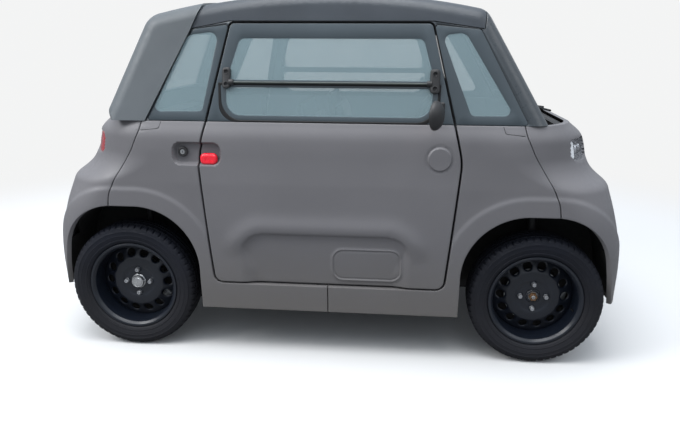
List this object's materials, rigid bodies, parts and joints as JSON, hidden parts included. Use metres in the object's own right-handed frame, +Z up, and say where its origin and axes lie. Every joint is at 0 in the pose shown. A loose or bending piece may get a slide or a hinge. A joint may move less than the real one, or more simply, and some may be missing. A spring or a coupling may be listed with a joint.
{
  "type": "electric city car",
  "caption": "Small two-seat electric city car with a moulded body, two doors hinged at opposite ends, steered front wheels and a hollow cabin.",
  "frame": {"origin": "on the ground under the middle of the car", "axes": "+X to the front, +Y to the left side, +Z up"},
  "size_m": [2.4106, 1.6448, 1.52],
  "materials": {
    "body_grey": "matt",
    "roof_slate": "matt",
    "black_plastic": "matt",
    "tinted_glass": "clear",
    "frame_steel": "satin",
    "wheel_steel": "satin",
    "hub_steel": "brushed",
    "tyre_rubber": "matt",
    "lamp_glass": "clear",
    "plate_white": "matt",
    "red_plastic": "satin",
    "seat_fabric": "woven",
    "cabin_plastic": "matt",
    "cast_aluminium": "cast"
  },
  "bodies": {
    "car_body": {"front_wings": "body_grey", "rear_wings": "body_grey", "front_fascia": "body_grey", "rear_fascia": "body_grey", "headlamps": "lamp_glass", "rear_lamps": "lamp_glass", "number_plates": "plate_white", "cowl_panel": "black_plastic", "windscreen": "tinted_glass", "quarter_windows": "tinted_glass", "pillar_frame": "black_plastic", "roof_panel": "roof_slate", "roof_glass": "tinted_glass", "rear_pillar_panel": "roof_slate", "rear_window": "tinted_glass", "chassis_frame": "frame_steel", "door_posts": "frame_steel", "arch_liners": "black_plastic", "cabin_tub": "cabin_plastic", "battery_pack": "frame_steel", "drive_motor": "cast_aluminium", "drive_shafts": "frame_steel", "lower_arms": "frame_steel", "rear_axle": "frame_steel", "rear_dampers": "frame_steel", "seat_shells": "cabin_plastic", "seat_cushions": "seat_fabric", "dashboard": "cabin_plastic", "steering_column": "black_plastic", "pedals": "black_plastic", "interior_mirror": "black_plastic"},
    "right_door": {"right_door_panel": "body_grey", "right_door_frame": "black_plastic", "right_door_windows": "tinted_glass", "right_flap_bar": "black_plastic", "right_door_handle": "red_plastic", "right_door_mirror": "black_plastic"},
    "left_door": {"left_door_panel": "body_grey", "left_door_frame": "black_plastic", "left_door_windows": "tinted_glass", "left_flap_bar": "black_plastic", "left_door_handle": "red_plastic", "left_door_mirror": "black_plastic"},
    "front_right_knuckle": {"front_right_knuckle": "cast_aluminium"},
    "front_left_knuckle": {"front_left_knuckle": "cast_aluminium"},
    "front_right_wheel": {"front_right_tyre": "tyre_rubber", "front_right_rim": "wheel_steel", "front_right_hub": "hub_steel"},
    "front_left_wheel": {"front_left_tyre": "tyre_rubber", "front_left_rim": "wheel_steel", "front_left_hub": "hub_steel"},
    "rear_right_wheel": {"rear_right_tyre": "tyre_rubber", "rear_right_rim": "wheel_steel", "rear_right_hub": "hub_steel"},
    "rear_left_wheel": {"rear_left_tyre": "tyre_rubber", "rear_left_rim": "wheel_steel", "rear_left_hub": "hub_steel"},
    "steering_wheel": {"steering_wheel": "black_plastic"}
  },
  "joints": [
    {"name": "front_left_steer", "type": "hinge", "parent": "car_body", "child": "front_left_knuckle", "pos_m": [0.864, 0.522, 0.175], "axis": [0, -0.1921, 0.9814], "range_deg": [-32, 32]},
    {"name": "front_right_steer", "type": "hinge", "parent": "car_body", "child": "front_right_knuckle", "pos_m": [0.864, -0.522, 0.175], "axis": [0, 0.1921, 0.9814], "range_deg": [-32, 32]},
    {"name": "steering_wheel_turn", "type": "hinge", "parent": "car_body", "child": "steering_wheel", "pos_m": [0.36, 0.29, 0.88], "axis": [-0.9063, 0, 0.4226], "range_deg": [-515, 515]},
    {"name": "front_left_wheel_spin", "type": "hinge", "parent": "front_left_knuckle", "child": "front_left_wheel", "pos_m": [0.864, 0.5775, 0.2785], "axis": [0, 1, 0], "continuous": true},
    {"name": "front_right_wheel_spin", "type": "hinge", "parent": "front_right_knuckle", "child": "front_right_wheel", "pos_m": [0.864, -0.5775, 0.2785], "axis": [0, 1, 0], "continuous": true},
    {"name": "rear_left_wheel_spin", "type": "hinge", "parent": "car_body", "child": "rear_left_wheel", "pos_m": [-0.864, 0.5775, 0.2785], "axis": [0, 1, 0], "continuous": true},
    {"name": "rear_right_wheel_spin", "type": "hinge", "parent": "car_body", "child": "rear_right_wheel", "pos_m": [-0.864, -0.5775, 0.2785], "axis": [0, 1, 0], "continuous": true},
    {"name": "right_door_swing", "type": "hinge", "parent": "car_body", "child": "right_door", "pos_m": [0.46, -0.68, 0.6], "axis": [0, 0, 1], "range_deg": [0, 70]},
    {"name": "left_door_swing", "type": "hinge", "parent": "car_body", "child": "left_door", "pos_m": [-0.46, 0.68, 0.6], "axis": [0, 0, 1], "range_deg": [0, 70]}
  ],
  "couplings": [
    {"joint": "front_right_steer", "follows": "front_left_steer", "ratio": 1},
    {"joint": "steering_wheel_turn", "follows": "front_left_steer", "ratio": 16}
  ]
}
